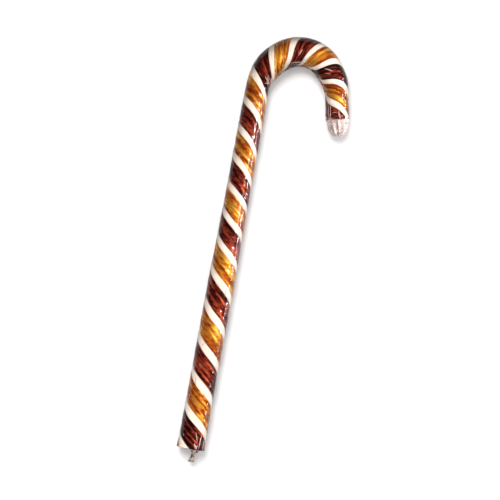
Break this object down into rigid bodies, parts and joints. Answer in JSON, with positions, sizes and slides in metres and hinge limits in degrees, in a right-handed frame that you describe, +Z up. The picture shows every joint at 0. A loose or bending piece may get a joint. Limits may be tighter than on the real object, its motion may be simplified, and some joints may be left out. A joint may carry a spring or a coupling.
{
  "type": "candy cane",
  "caption": "Hard-candy cane with twisted amber, dark brown and white stripes and a hooked end, tightly wrapped in clear film with gathered ends.",
  "frame": {"origin": "under the middle of the whole cane's box, on the surface it lies on", "axes": "+Y along the shaft from the foot to the crook, +X the way the crook bends, +Z up from the surface the cane lies on"},
  "size_m": [0.0553, 0.221, 0.0137],
  "materials": {
    "candy": "boiled sugar in twisted stripes: translucent amber with fine gold streaks, dark red-brown, and opaque cream white; smooth and glossy",
    "film": "thin clear wrapping film, glossy, wrinkled and pleated at the ends"
  },
  "bodies": {
    "root": {"candy": "candy", "film_foot_tail": "film", "film_tip_bunch": "film"}
  },
  "joints": []
}
